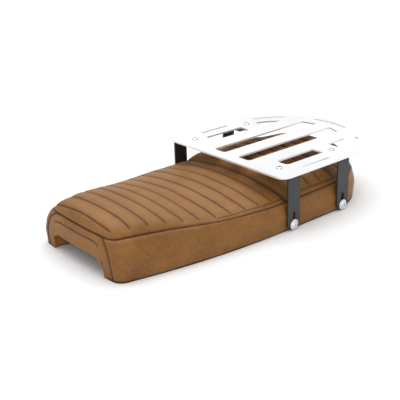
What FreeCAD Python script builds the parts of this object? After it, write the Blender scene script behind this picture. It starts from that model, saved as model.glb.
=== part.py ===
import FreeCAD, Part
import math
import os
import Sketcher
from FreeCAD import Vector

# Motorcycle bench seat with a raised rear section and a bolted luggage rack.
# Millimetres. +Z up, -Y towards the handlebars, +X towards the rider's left.
# The origin is on the floor, under the middle of the whole object.

DIMENSIONS = [
    # alias, value, meaning
    ("seat_front", -292.5, "Y of the front of the nose"),
    ("seat_tail", 271.5, "Y of the end of the tail"),
    ("seat_half_width", 140.0, "widest half width, at the rack straps"),
    ("nose_narrowing", 38.0, "how much narrower each side is at the nose"),
    ("waist_position", 32.5, "Y where the sides start to taper"),
    ("tail_start", 132.5, "Y where the elliptical tail begins"),
    ("nose_bow", 3.0, "how far the nose bows forward of its corners"),
    ("nose_corner_radius", 20.0, "plan radius of the nose corners"),
    ("bulge_height", 25.0, "Z where the sides stand out most"),
    ("shoulder_height", 50.0, "Z where the sides turn into the top"),
    ("block_height", 92.0, "Z that the shaping block reaches"),
    ("nose_crown", 79.5, "Z of the highest point of the front cushion"),
    ("nose_crown_place", -247.5, "Y of that point"),
    ("saddle_crown", 66.0, "Z of the dished rider area"),
    ("saddle_place", -97.5, "Y where the dish is reached"),
    ("crease_place", 26.5, "Y of the crease between the two cushions"),
    ("hump_crown", 80.0, "Z of the raised rear section"),
    ("step_length", 28.0, "length over which the rear cushion steps up"),
    ("tail_fall_place", 162.5, "Y where the rear cushion starts to fall"),
    ("crown_radius", 520.0, "radius of the top across the seat"),
    ("hump_radius", 400.0, "radius of the rear top across the seat"),
    ("leather", 2.0, "thickness of the cover"),
    ("pan_wall", 3.0, "thickness of the moulded pan"),
    ("deck_height", 32.0, "Z of the top of the pan"),
    ("trim_height", 1.6, "height of the rubber edging"),
    ("trim_proud", 0.3, "how far the edging stands out"),
    ("seam_nose", 62.0, "Z of the cover seam at the nose"),
    ("seam_shoulder", 60.0, "Z of the cover seam where the nose ends"),
    ("seam_shoulder_place", -217.5, "Y of that station"),
    ("seam_waist", 51.0, "Z of the cover seam beside the rider"),
    ("seam_waist_place", -107.5, "Y of that station"),
    ("seam_rear", 46.0, "Z of the cover seam beside the rack"),
    ("seam_rear_place", -7.5, "Y of that station"),
    ("seam_tail", 49.0, "Z of the cover seam at the tail"),
    ("nose_panel_half_width", 84.0, "half width of the nose panel"),
    ("nose_panel_depth", 30.0, "how far back the nose panel reaches"),
    ("arch_half_width", 69.0, "half width of the opening under the nose"),
    ("arch_radius", 20.0, "corner radius of that opening"),
    ("rack_top", 94.0, "Z of the rack plate's top face"),
    ("plate_thickness", 3.0, "rack plate"),
    ("plate_front", 2.5, "Y of the plate's front edge"),
    ("plate_arc_place", 148.5, "Y of the centre of the plate's arcs"),
    ("plate_half_width", 144.0, "also the radius of the rounded rear edge"),
    ("plate_corner_radius", 18.0, "front corners"),
    ("bolt_column", 105.0, "X of the plate bolts"),
    ("bolt_row_middle", 96.5, "Y of the middle of the plate bolts"),
    ("bolt_row_half", 63.3, "half their spacing along Y"),
    ("slot_arc_radius", 107.0, "arc that ends the long slots"),
    ("rim_slot_radius", 130.0, "centre line of the curved rim slots"),
    ("rim_slot_width", 5.0, "width of the thin slots"),
    ("rim_slot_start", 44.2, "how far behind the arc centre the side rim slots begin"),
    ("rim_slot_end", 96.2, "how far behind the arc centre they end"),
    ("rear_rim_half", 39.0, "half width of the rim slot at the rear"),
    ("long_slot_inner", 16.0, "X of the long slots' inner wall"),
    ("long_slot_outer", 44.0, "X of the long slots' outer wall"),
    ("long_slot_front", 23.5, "Y where the long slots begin"),
    ("short_slot_inner", 77.0, "X of the short slots' inner wall"),
    ("short_slot_outer", 102.0, "X of the short slots' outer wall"),
    ("short_slot_front", 54.5, "Y where the short slots begin"),
    ("short_slot_rear", 141.5, "Y where the short slots end"),
    ("corner_hole_front", 179.5, "Y where the corner holes begin"),
    ("edge_slot_column", 126.0, "X of the straight thin slots"),
    ("edge_slot_front", 65.5, "Y where they begin"),
    ("edge_slot_rear", 129.5, "Y where they end"),
    ("slot_corner_radius", 7.0, "front corners of the wide slots"),
    ("strap_width", 27.0, "flat bar width"),
    ("strap_thickness", 3.0, "flat bar thickness"),
    ("strap_gap", 0.4, "between the strap and the seat's side"),
    ("strap_bottom", 1.0, "Z of the strap's lower end"),
    ("front_strap_place", 28.0, "Y of the front straps' middle"),
    ("rear_strap_place", 146.5, "Y of the rear straps' middle"),
    ("foot_reach", 48.0, "how far the foot runs under the plate"),
    ("foot_offset", 11.0, "how far the foot runs behind the leg"),
    ("bend_radius", 4.0, "outside radius of the strap's bend"),
    ("slot_width", 6.6, "height adjustment slot"),
    ("slot_rise", 18.0, "travel of the bolt centre in the slot"),
    ("side_bolt_height", 10.0, "Z of the side bolts"),
    ("side_clearance", 0.3, "between the strap and the bolt's washer"),
    ("bolt_radius", 2.95, "M6 shank"),
    ("thread_hole_radius", 3.0, "M6 thread"),
    ("head_radius", 5.5, "button head"),
    ("head_height", 3.3, "button head"),
    ("thread_chamfer", 0.6, "bevel at the end of the shank"),
    ("socket_depth", 1.8, "hexagon socket"),
    ("socket_radius", 2.3, "hexagon socket, centre to corner"),
    ("washer_radius", 8.7, "side washers"),
    ("washer_thickness", 1.2, "side washers"),
    ("insert_radius", 4.5, "threaded insert barrel"),
    ("insert_length", 12.0, "threaded insert barrel"),
    ("side_bolt_length", 15.0, "from under the head"),
    ("rack_bolt_length", 14.0, "from under the head"),
    ("nut_across", 11.0, "rack nut, corner to corner"),
    ("nut_height", 5.0, "rack nut"),
    ("nut_flange_radius", 7.0, "rack nut flange"),
    ("nut_flange_height", 1.2, "rack nut flange"),
    ("stud_column", 55.0, "X of the mounting studs"),
    ("stud_row", 180.0, "Y of the mounting studs"),
    ("stud_radius", 3.0, "M6 stud"),
    ("stud_length", 24.0, "free length under the plate"),
    ("stud_plate_half_length", 72.0, "steel strip across the pan"),
    ("stud_plate_width", 30.0, "steel strip across the pan"),
    ("stud_plate_thickness", 3.0, "steel strip across the pan"),
    ("bumper_column", 88.0, "X of the rubber buffers"),
    ("bumper_row", 100.0, "Y of the rubber buffers"),
    ("bumper_radius", 11.0, "rubber buffer"),
    ("bumper_height", 14.0, "rubber buffer"),
    ("backing_front", 6.5, "Y where the steel backing strips begin"),
    ("backing_rear", 168.5, "Y where the steel backing strips end"),
    ("backing_bottom", 3.0, "Z of their lower edge"),
    ("backing_top", 22.0, "Z of their upper edge"),
    ("backing_thickness", 2.0, "steel backing strips"),
    ("staple_width", 10.0, "cover staples"),
    ("staple_pitch", 26.0, "cover staples"),
    ("staple_wire", 0.8, "cover staples"),
    ("staple_height", 12.0, "Z of the staples on the pan's inner wall"),
    ("backing_inner_edge", 60.0, "X that the backing strips stay outside of"),
]

doc = FreeCAD.newDocument("BenchSeat")
sheet = doc.addObject("Spreadsheet::Sheet", "dims")
sheet.set("A1", "alias")
sheet.set("B1", "value")
sheet.set("C1", "meaning")
for row, (alias, value, meaning) in enumerate(DIMENSIONS, start=2):
    sheet.set(f"A{row}", alias)
    sheet.set(f"B{row}", str(value))
    sheet.set(f"C{row}", meaning)
    sheet.setAlias(f"B{row}", alias)
doc.recompute()


class Size:
    """A number that also carries the spreadsheet formula it comes from."""

    def __init__(self, value, formula=None):
        self.value = float(value)
        self.formula = formula or repr(float(value))

    def _join(self, sign, other, value):
        return Size(value, f"({self.formula} {sign} {other.formula})")

    def __add__(self, other):
        other = as_size(other)
        return self._join("+", other, self.value + other.value)

    def __sub__(self, other):
        other = as_size(other)
        return self._join("-", other, self.value - other.value)

    def __mul__(self, other):
        other = as_size(other)
        return self._join("*", other, self.value * other.value)

    def __truediv__(self, other):
        other = as_size(other)
        return self._join("/", other, self.value / other.value)

    def __neg__(self):
        return as_size(0.0) - self


def as_size(number):
    return number if isinstance(number, Size) else Size(number)


def dim(alias):
    """A driving dimension, bound to its spreadsheet cell."""
    return Size(getattr(sheet, alias), f"dims.{alias}")


def mm(alias):
    """A driving dimension as a plain number."""
    return float(getattr(sheet, alias))


def bind(thing, prop, size):
    thing.setExpression(prop, as_size(size).formula)


parts = []


def keep(thing, label):
    """Name a sub-part, so that it is written to its own file."""
    thing.Label = label
    parts.append(thing)
    return thing


# ---------------------------------------------------------------- solids by primitives

def place(thing, x, y, z):
    for axis, size in zip("xyz", (x, y, z)):
        bind(thing, f"Placement.Base.{axis}", size)
    return thing


def box(name, x, y, z):
    """A box from the pairs (low, high) along each axis."""
    solid = doc.addObject("Part::Box", name)
    for prop, (low, high) in zip(("Length", "Width", "Height"), (x, y, z)):
        bind(solid, prop, as_size(high) - low)
    return place(solid, x[0], y[0], z[0])


def cylinder(name, x, y, z, radius, height):
    solid = doc.addObject("Part::Cylinder", name)
    bind(solid, "Radius", radius)
    bind(solid, "Height", height)
    return place(solid, x, y, z)


def fuse(name, shapes):
    joined = doc.addObject("Part::MultiFuse", name)
    joined.Shapes = shapes
    return joined


def common(name, shapes):
    shared = doc.addObject("Part::MultiCommon", name)
    shared.Shapes = shapes
    return shared


def cut(name, base, tool):
    result = doc.addObject("Part::Cut", name)
    result.Base = base
    result.Tool = tool
    return result


def group(name, things):
    compound = doc.addObject("Part::Compound", name)
    compound.Links = things
    return compound


def mirror(name, source):
    """The mirror image of source on the seat's other side."""
    image = doc.addObject("Part::Mirroring", name)
    image.Source = source
    image.Normal = SIDEWAYS
    return image


SIDEWAYS = Vector(1, 0, 0)


def round_upright_edges(name, source, radius, chosen):
    """Round the upright edges of source whose middle passes the test."""
    doc.recompute()
    edges = []
    for number, edge in enumerate(source.Shape.Edges, start=1):
        middle = edge.CenterOfMass
        upright = abs(edge.tangentAt(edge.FirstParameter).z) > 0.99
        if upright and chosen(middle):
            edges.append((number, radius.value, radius.value))
    rounded = doc.addObject("Part::Fillet", name)
    rounded.Base = source
    rounded.Edges = edges
    return rounded


# ---------------------------------------------------------------- bodies by sketches

def plane_of(body, role):
    return next(f for f in body.Origin.OriginFeatures if f.Role == role)


def new_body(name):
    return doc.addObject("PartDesign::Body", name)


def new_sketch(body, name, role, offset=None):
    sketch = body.newObject("Sketcher::SketchObject", name)
    sketch.AttachmentSupport = [(plane_of(body, role), "")]
    sketch.MapMode = "FlatFace"
    if offset is not None:
        bind(sketch, "AttachmentOffset.Base.z", offset)
    return sketch


def hold(sketch, kind, *where, size):
    """Add one dimension to a sketch and bind it to the spreadsheet."""
    number = sketch.addConstraint(Sketcher.Constraint(kind, *where, size.value))
    bind(sketch, f"Constraints[{number}]", size)


def polygon(sketch, corners):
    """A closed outline whose corners are each held from the origin."""
    sizes = [(as_size(x), as_size(y)) for x, y in corners]
    points = [Vector(x.value, y.value, 0) for x, y in sizes]
    count = len(points)
    for start in range(count):
        end = (start + 1) % count
        sketch.addGeometry(Part.LineSegment(points[start], points[end]), False)
    for start in range(count):
        end = (start + 1) % count
        sketch.addConstraint(Sketcher.Constraint("Coincident", start, 2, end, 1))
    for number, (x, y) in enumerate(sizes):
        hold(sketch, "DistanceX", -1, 1, number, 1, size=x)
        hold(sketch, "DistanceY", -1, 1, number, 1, size=y)


def circle(sketch, x, y, radius):
    x, y, radius = as_size(x), as_size(y), as_size(radius)
    number = sketch.GeometryCount
    centre = Vector(x.value, y.value, 0)
    sketch.addGeometry(Part.Circle(centre, Vector(0, 0, 1), radius.value), False)
    hold(sketch, "DistanceX", -1, 1, number, 3, size=x)
    hold(sketch, "DistanceY", -1, 1, number, 3, size=y)
    hold(sketch, "Radius", number, size=radius)


def pad(body, name, sketch, length, reverse=False):
    feature = body.newObject("PartDesign::Pad", name)
    feature.Profile = sketch
    bind(feature, "Length", length)
    feature.Reversed = reverse


def pocket(body, name, sketch):
    """Cut the sketch through everything, to both sides of its plane."""
    feature = body.newObject("PartDesign::Pocket", name)
    feature.Profile = sketch
    feature.Type = "ThroughAll"
    feature.Midplane = True


# ---------------------------------------------------------------- the seat's own form

def side_half_width(y):
    """Half width of the seat at a station, at the height where it is widest."""
    distance = max(0.0, mm("waist_position") - y) / TAPER_RUN
    return mm("seat_half_width") - mm("nose_narrowing") * distance ** TAPER_POWER


BASE_INSET = 1.5        # how far the foot of the sides stands in from the bulge
SHOULDER_SLOPE = 0.42   # inward run of the sides for each millimetre up to the shoulder
TAIL_INSET = 7.0        # the same step at the tail
TAIL_SLOPE = 0.65       # inward run of the tail above the shoulder
NOSE_FOOT_INSET = 2.0   # how far the foot of the nose stands in from its front
TAIL_FOOT_INSET = 5.0   # the same at the tail
NOSE_INSET = 1.0        # how far the nose leans back at the shoulder height
NOSE_SLOPE = 0.45       # inward run of the nose above the shoulder
TAPER_POWER = 2.17      # how suddenly the sides taper towards the nose
TAPER_RUN = 320.0       # length over which they taper
STAPLE_CLEARANCE = 0.25
INSERT_CLEARANCE = 0.05
OVERSHOOT = 10.0        # how far a cutter runs past what it cuts
ARCH_REACH = 50.0       # how far back the opening under the nose is cut
SIDE_HOLE_START = 120.0  # X where the cutters for the side holes begin

# A zone larger than the seat, from which pieces of space are taken
ALL_X = (-200.0, 200.0)
ALL_Y = (-400.0, 400.0)
ALL_Z = (-50.0, 150.0)


def plan_wire(z, side, front, tail):
    """Plan outline of the seat at one height, drawn in from the widest one."""
    corner = mm("nose_corner_radius")
    nose_corner_y = mm("seat_front") + mm("nose_bow") + front
    nose_x = side_half_width(nose_corner_y + corner) - side
    diagonal = corner * math.sqrt(0.5)

    def at(x, y):
        return Vector(x, y, z)

    def nose_corner(sign):
        return [
            at(sign * (nose_x - corner), nose_corner_y),
            at(sign * (nose_x - corner + diagonal), nose_corner_y + corner - diagonal),
            at(sign * nose_x, nose_corner_y + corner),
        ]

    def flank(sign):
        start = nose_corner_y + corner
        run = mm("tail_start") - start
        stations = [start + run * step / 5 for step in range(6)]
        return [at(sign * (side_half_width(y) - side), y) for y in stations]

    half = side_half_width(mm("tail_start")) - side
    depth = mm("seat_tail") - mm("tail_start") - tail
    turn = [math.pi * step / 10 for step in range(11)]
    tail_points = [at(half * math.cos(t), mm("tail_start") + depth * math.sin(t)) for t in turn]

    def spline(points):
        curve = Part.BSplineCurve()
        curve.interpolate(points)
        return curve.toShape()

    right, left = nose_corner(1), nose_corner(-1)
    nose = Part.Arc(left[0], at(0, nose_corner_y - mm("nose_bow")), right[0]).toShape()
    edges = [
        nose,
        Part.Arc(*right).toShape(),
        spline(flank(1)),
        spline(tail_points),
        spline(flank(-1)[::-1]),
        Part.Arc(*left[::-1]).toShape(),
    ]
    return Part.Wire(edges)


def plan_block(inset):
    """The seat's sides: upright to the bulge, then turning in over the shoulder."""
    shoulder = mm("shoulder_height") - mm("bulge_height")
    over = mm("block_height") - mm("shoulder_height")
    levels = [
        (0.0, BASE_INSET, NOSE_FOOT_INSET, TAIL_FOOT_INSET),
        (mm("bulge_height"), 0.0, 0.0, 0.0),
        (mm("shoulder_height"), SHOULDER_SLOPE * shoulder, NOSE_INSET, TAIL_INSET),
        (mm("block_height"), SHOULDER_SLOPE * shoulder + over,
         NOSE_INSET + NOSE_SLOPE * over, TAIL_INSET + TAIL_SLOPE * over),
    ]
    wires = [plan_wire(z, *(inward + inset for inward in step)) for z, *step in levels]
    return Part.makeLoft(wires, True, True)


NOSE_FALL = 0.0028      # how fast the cushion falls ahead of its highest point
TAIL_FALL = 0.0012      # how fast the rear cushion falls towards the tail


def front_crown(y):
    """Height of the front cushion along the middle: high nose, dished saddle."""
    top, low = mm("nose_crown"), mm("saddle_crown")
    start, end = mm("nose_crown_place"), mm("saddle_place")
    if y <= start:
        return top - NOSE_FALL * (y - start) ** 2
    share = min(1.0, (y - start) / (end - start))
    return low + (top - low) * (0.5 + 0.5 * math.cos(math.pi * share))


def rear_crown(y):
    """Height of the rear cushion along the middle: a step up, then a falling tail."""
    base, top = mm("saddle_crown"), mm("hump_crown")
    rise = min(1.0, (y - mm("crease_place")) / mm("step_length"))
    fall = max(0.0, y - mm("tail_fall_place"))
    return base + (top - base) * math.sin(0.5 * math.pi * rise) - TAIL_FALL * fall ** 2


def crown_block(stations, height, radius, inset):
    """Everything under a top surface that is arched across the seat."""
    half = mm("seat_half_width") + 2 * OVERSHOOT
    drop = radius - math.sqrt(radius ** 2 - half ** 2)
    sections = []
    for y in stations:
        top = height(y) - inset
        foot = [Vector(-half, y, -OVERSHOOT), Vector(half, y, -OVERSHOOT)]
        edge = [Vector(half, y, top - drop), Vector(-half, y, top - drop)]
        sections.append(Part.Wire([
            Part.makeLine(foot[0], foot[1]),
            Part.makeLine(foot[1], edge[0]),
            Part.Arc(edge[0], Vector(0, y, top), edge[1]).toShape(),
            Part.makeLine(edge[1], foot[0]),
        ]))
    return Part.makeLoft(sections, True, False)


def raw_box(x, y, z):
    return Part.makeBox(x[1] - x[0], y[1] - y[0], z[1] - z[0], Vector(x[0], y[0], z[0]))


def seam_block():
    """Everything below the seam that runs round the seat."""
    heights = [
        (mm("seat_front") - 2 * OVERSHOOT, mm("seam_nose")),
        (mm("seam_shoulder_place"), mm("seam_shoulder")),
        (mm("seam_waist_place"), mm("seam_waist")),
        (mm("seam_rear_place"), mm("seam_rear")),
        (mm("seat_tail") + 2 * OVERSHOOT, mm("seam_tail")),
    ]
    curve = Part.BSplineCurve()
    curve.interpolate([Vector(ALL_X[0], y, z) for y, z in heights])
    first, last = heights[0], heights[-1]
    low = [Vector(ALL_X[0], last[0], ALL_Z[0]), Vector(ALL_X[0], first[0], ALL_Z[0])]
    outline = Part.Wire([
        curve.toShape(),
        Part.makeLine(Vector(ALL_X[0], *last), low[0]),
        Part.makeLine(low[0], low[1]),
        Part.makeLine(low[1], Vector(ALL_X[0], *first)),
    ])
    return Part.Face(outline).extrude(Vector(ALL_X[1] - ALL_X[0], 0, 0))


def arch_block():
    """The opening under the nose, through the cover and the pan."""
    half, corner = mm("arch_half_width"), mm("arch_radius")
    top = mm("deck_height") - mm("pan_wall")
    front = mm("seat_front") - OVERSHOOT
    diagonal = corner * (1 - math.sqrt(0.5))

    def at(x, z):
        return Vector(x, front, z)

    def rounding(sign):
        return [
            at(sign * half, top - corner),
            at(sign * (half - diagonal), top - diagonal),
            at(sign * (half - corner), top),
        ]

    right, left = rounding(1), rounding(-1)[::-1]
    outline = Part.Wire([
        Part.makeLine(at(-half, -OVERSHOOT), at(half, -OVERSHOOT)),
        Part.makeLine(at(half, -OVERSHOOT), right[0]),
        Part.Arc(*right).toShape(),
        Part.makeLine(right[2], left[0]),
        Part.Arc(*left).toShape(),
        Part.makeLine(left[2], at(-half, -OVERSHOOT)),
    ])
    return Part.Face(outline).extrude(Vector(0, ARCH_REACH + OVERSHOOT, 0))


def free_form(name, shape):
    """Put a free-form solid into the document as a sub-part."""
    feature = doc.addObject("Part::Feature", name)
    if shape.ShapeType != "Solid" and len(shape.Solids) == 1:
        shape = shape.Solids[0]
    feature.Shape = shape
    return keep(feature, name)


leather = mm("leather")
wall = mm("pan_wall")
deck = mm("deck_height")
trim_top = mm("trim_height")
crease = mm("crease_place")

FRONT_STATIONS = [-330, -290, -250, -210, -170, -135, -97, -40, 10, 50]
REAR_STATIONS = [crease, 33.5, 40.5, 47.5, 54.5, 80, 120, 160, 200, 240, 280]

outer_plan = plan_block(0.0)
inner_plan = plan_block(leather)
before_crease = raw_box(ALL_X, (ALL_Y[0], crease), ALL_Z)
behind_crease = raw_box(ALL_X, (crease, ALL_Y[1]), ALL_Z)
above_deck = raw_box(ALL_X, ALL_Y, (deck, ALL_Z[1]))
seam_side = seam_block()
arch = arch_block()

front_top = (FRONT_STATIONS, front_crown, mm("crown_radius"))
rear_top = (REAR_STATIONS, rear_crown, mm("hump_radius"))
outer_front = outer_plan.common(crown_block(*front_top, 0.0)).common(before_crease)
inner_front = inner_plan.common(crown_block(*front_top, leather)).common(before_crease)
outer_rear = outer_plan.common(crown_block(*rear_top, 0.0)).common(behind_crease)
inner_rear = inner_plan.common(crown_block(*rear_top, leather)).common(behind_crease)
crease_layer = raw_box(ALL_X, (crease, crease + leather), (deck, ALL_Z[1]))

# Foam: two blocks on the pan's deck, with the rear cover's front wall between them.
free_form("front_foam", inner_front.common(above_deck))
free_form("rear_foam", inner_rear.common(above_deck).cut(crease_layer))

# Cover: two top panels above the seam, two side panels and a nose panel below it.
free_form("front_cover", outer_front.cut(inner_front).cut(seam_side))
rear_skin = outer_rear.cut(inner_rear).cut(seam_side)
free_form("rear_cover", rear_skin.fuse(inner_rear.common(crease_layer)).removeSplitter())

nose_half = mm("nose_panel_half_width")
nose_reach = (ALL_Y[0], mm("seat_front") + mm("nose_panel_depth"))
nose_zone = raw_box((-nose_half, nose_half), nose_reach, ALL_Z)
above_trim = raw_box(ALL_X, ALL_Y, (trim_top, ALL_Z[1]))
side_skin = outer_plan.cut(inner_plan).common(seam_side).common(above_trim)
free_form("nose_panel", side_skin.common(nose_zone).cut(arch))


def side_holes(radius, sign):
    """Round cutters across the seat's side at the two side bolts."""
    reach = mm("seat_half_width") + OVERSHOOT - SIDE_HOLE_START
    cutters = []
    for strap in ("front_strap_place", "rear_strap_place"):
        start = Vector(sign * SIDE_HOLE_START, mm(strap), mm("side_bolt_height"))
        cutters.append(Part.makeCylinder(radius, reach, start, Vector(sign, 0, 0)))
    return cutters


insert_hole = mm("insert_radius") + INSERT_CLEARANCE
for side, sign in (("left", 1), ("right", -1)):
    half_space = raw_box((0.0, ALL_X[1]) if sign > 0 else (ALL_X[0], 0.0), ALL_Y, ALL_Z)
    panel = side_skin.cut(nose_zone).common(half_space)
    for hole in side_holes(insert_hole, sign):
        panel = panel.cut(hole)
    free_form(f"side_panel_{side}", panel)

# Pan: a thin moulded tray, open below and arched at the nose.
below_deck = raw_box(ALL_X, ALL_Y, (ALL_Z[0], deck))
below_ceiling = raw_box(ALL_X, ALL_Y, (ALL_Z[0], deck - wall))
pan_inside = plan_block(leather + wall)
pan = inner_plan.common(below_deck).cut(pan_inside.common(below_ceiling)).cut(arch)
for sign in (1, -1):
    for hole in side_holes(insert_hole, sign):
        pan = pan.cut(hole)
free_form("seat_pan", pan)

# Rubber edging round the pan's lower edge, under the cover's edge.
trim_zone = raw_box(ALL_X, ALL_Y, (ALL_Z[0], trim_top))
trim = plan_block(-mm("trim_proud")).cut(inner_plan).common(trim_zone).cut(arch)
free_form("edge_trim", trim)

# Steel backing strips bent to the pan's inner wall, behind the threaded inserts.
backing_zone = (
    (mm("backing_front"), mm("backing_rear")),
    (mm("backing_bottom"), mm("backing_top")),
)
strip_ring = pan_inside.cut(plan_block(leather + wall + mm("backing_thickness")))
for side, sign in (("left", 1), ("right", -1)):
    inner_edge = mm("backing_inner_edge")
    reach = (inner_edge, ALL_X[1]) if sign > 0 else (ALL_X[0], -inner_edge)
    strip = strip_ring.common(raw_box(reach, *backing_zone))
    for hole in side_holes(insert_hole, sign):
        strip = strip.cut(hole)
    free_form(f"backing_strip_{side}", strip)


def staple_group():
    """Staples that hold the turned-in cover to the pan's inner wall."""
    width, wire = mm("staple_width"), mm("staple_wire")
    staples = []
    count = int((mm("tail_start") - mm("nose_crown_place")) / mm("staple_pitch"))
    for number in range(count):
        y = mm("nose_crown_place") + mm("staple_pitch") * number
        if mm("backing_front") - width < y < mm("backing_rear") + width:
            continue
        step = 1.0
        slope = (side_half_width(y + step) - side_half_width(y - step)) / (2 * step)
        for sign in (1, -1):
            lean = BASE_INSET * (1 - mm("staple_height") / mm("bulge_height"))
            x = side_half_width(y) - leather - wall - lean - wire - STAPLE_CLEARANCE
            staple = Part.makeBox(wire, width, wire, Vector(-wire / 2, -width / 2, 0))
            turn = FreeCAD.Rotation(Vector(0, 0, 1), -sign * math.degrees(math.atan(slope)))
            spot = Vector(sign * x, y, mm("staple_height"))
            staple.Placement = FreeCAD.Placement(spot, turn)
            staples.append(staple)
    return Part.makeCompound(staples)


free_form("cover_staples", staple_group())

# ---------------------------------------------------------------- rack plate

rack_top = dim("rack_top")
plate_low = rack_top - dim("plate_thickness")
plate_z = (plate_low, rack_top)
cutter_z = (plate_low - OVERSHOOT, rack_top + OVERSHOOT)
cutter_height = dim("plate_thickness") + 2 * OVERSHOOT
half_plate = dim("plate_half_width")
arc_place = dim("plate_arc_place")



def is_front_corner(middle):
    return middle.y < mm("plate_front") + OVERSHOOT


def is_slot_front(middle):
    return middle.y < mm("bolt_row_middle")


plate_block = box("plate_block", (-half_plate, half_plate), (dim("plate_front"), arc_place), plate_z)
plate_square = round_upright_edges(
    "plate_square", plate_block, dim("plate_corner_radius"), is_front_corner)
plate_disc = cylinder("plate_disc", 0, arc_place, plate_low, half_plate, dim("plate_thickness"))
plate_blank = fuse("plate_blank", [plate_square, plate_disc])


def disc(name, radius):
    return cylinder(name, 0, arc_place, plate_low - OVERSHOOT, radius, cutter_height)


def ring(name, radius, width):
    outer = disc(f"{name}_outer", radius + width / 2)
    inner = disc(f"{name}_inner", radius - width / 2)
    return cut(name, outer, inner)


def slot_cutters():
    """The pattern of openings, as cutters on the rider's left and on the middle."""
    rear_end = arc_place + half_plate
    slot_disc = disc("slot_disc", dim("slot_arc_radius"))
    long_x = (dim("long_slot_inner"), dim("long_slot_outer"))
    long_box = box("long_box", long_x, (dim("long_slot_front"), rear_end), cutter_z)
    long_round = round_upright_edges(
        "long_round", long_box, dim("slot_corner_radius"), is_slot_front)
    front_half = box("front_half", (-half_plate, half_plate), (0, arc_place), cutter_z)
    slot_reach = fuse("slot_reach", [slot_disc, front_half])
    long_slot = common("long_slot", [long_round, slot_reach])

    short_x = (dim("short_slot_inner"), dim("short_slot_outer"))
    short_y = (dim("short_slot_front"), dim("short_slot_rear"))
    short_box = box("short_box", short_x, short_y, cutter_z)
    short_slot = round_upright_edges(
        "short_slot", short_box, dim("slot_corner_radius"), is_slot_front)

    corner_y = (dim("corner_hole_front"), rear_end)
    corner_box = box("corner_box", (dim("short_slot_inner"), half_plate), corner_y, cutter_z)
    corner_disc = disc("corner_disc", dim("slot_arc_radius"))
    corner_hole = common("corner_hole", [corner_box, corner_disc])

    column, half = dim("edge_slot_column"), dim("rim_slot_width") / 2
    edge_y = (dim("edge_slot_front"), dim("edge_slot_rear"))
    edge_slot = box("edge_slot", (column - half, column + half), edge_y, cutter_z)

    side_ring = ring("side_ring", dim("rim_slot_radius"), dim("rim_slot_width"))
    side_y = (arc_place + dim("rim_slot_start"), arc_place + dim("rim_slot_end"))
    side_window = box("side_window", (0, half_plate), side_y, cutter_z)
    side_slot = common("side_slot", [side_ring, side_window])
    return group("left_cutters", [long_slot, short_slot, corner_hole, edge_slot, side_slot])


def rear_cutter():
    rear_ring = ring("rear_ring", dim("rim_slot_radius"), dim("rim_slot_width"))
    half = dim("rear_rim_half")
    window = box("rear_window", (-half, half), (arc_place, arc_place + half_plate), cutter_z)
    return common("rear_slot", [rear_ring, window])


bolt_front = dim("bolt_row_middle") - dim("bolt_row_half")
bolt_rear = dim("bolt_row_middle") + dim("bolt_row_half")


def bolt_holes(name):
    holes = []
    for end, y in (("front", bolt_front), ("rear", bolt_rear)):
        radius = dim("slot_width") / 2
        holes.append(cylinder(f"{name}_{end}", dim("bolt_column"), y, plate_low - OVERSHOOT,
                              radius, cutter_height))
    return group(name, holes)


left_openings = group("left_openings", [slot_cutters(), bolt_holes("plate_bolt_holes")])
right_openings = mirror("right_openings", left_openings)
plate_left_cut = cut("plate_left_cut", plate_blank, left_openings)
plate_both_cut = cut("plate_both_cut", plate_left_cut, right_openings)
keep(cut("rack_plate", plate_both_cut, rear_cutter()), "rack_plate")

# ---------------------------------------------------------------- rack straps

strap_inside = dim("seat_half_width") + dim("strap_gap")
strap_outside = strap_inside + dim("strap_thickness")


def strap_body(name, middle, bolt_y):
    """A bent flat bar: a leg down the seat's side and a foot under the plate."""
    body = new_body(name)
    half = dim("strap_width") / 2
    front, rear = middle - half, middle + half
    foot_rear = rear + dim("foot_offset")
    foot_low = plate_low - dim("strap_thickness")
    bend = dim("bend_radius") + 1

    foot = new_sketch(body, f"{name}_foot_outline", "XY_Plane", foot_low)
    foot_inner = strap_outside - dim("foot_reach")
    polygon(foot, [
        (foot_inner, front),
        (strap_outside, front),
        (strap_outside, rear),
        (strap_outside - bend, rear),
        (strap_outside - bend - dim("foot_offset"), foot_rear),
        (foot_inner, foot_rear),
    ])
    pad(body, f"{name}_foot", foot, dim("strap_thickness"))

    leg = new_sketch(body, f"{name}_leg_outline", "YZ_Plane", strap_inside)
    polygon(leg, [
        (front, dim("strap_bottom")),
        (rear, dim("strap_bottom")),
        (rear, plate_low),
        (front, plate_low),
    ])
    pad(body, f"{name}_leg", leg, dim("strap_thickness"))

    slot = new_sketch(body, f"{name}_slot_outline", "YZ_Plane")
    slot_half = dim("slot_width") / 2
    low = dim("side_bolt_height")
    high = low + dim("slot_rise")
    polygon(slot, [
        (middle - slot_half, low),
        (middle + slot_half, low),
        (middle + slot_half, high),
        (middle - slot_half, high),
    ])
    pocket(body, f"{name}_slot", slot)
    for end, height in (("lower", low), ("upper", high)):
        round_end = new_sketch(body, f"{name}_{end}_round", "YZ_Plane")
        circle(round_end, middle, height, slot_half)
        pocket(body, f"{name}_{end}_end", round_end)

    hole = new_sketch(body, f"{name}_hole_outline", "XY_Plane")
    circle(hole, dim("bolt_column"), bolt_y, dim("slot_width") / 2)
    pocket(body, f"{name}_hole", hole)
    round_bend(body, name)
    return body


def round_edges(body, name, radius, chosen):
    """Fillet the edges of a body's tip that pass the test."""
    doc.recompute()
    tip = body.Tip
    edges = []
    for number, edge in enumerate(tip.Shape.Edges, start=1):
        direction = edge.tangentAt(edge.FirstParameter)
        if chosen(edge.CenterOfMass, direction):
            edges.append(f"Edge{number}")
    fillet = body.newObject("PartDesign::Fillet", name)
    fillet.Base = (tip, edges)
    bind(fillet, "Radius", radius)


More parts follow.
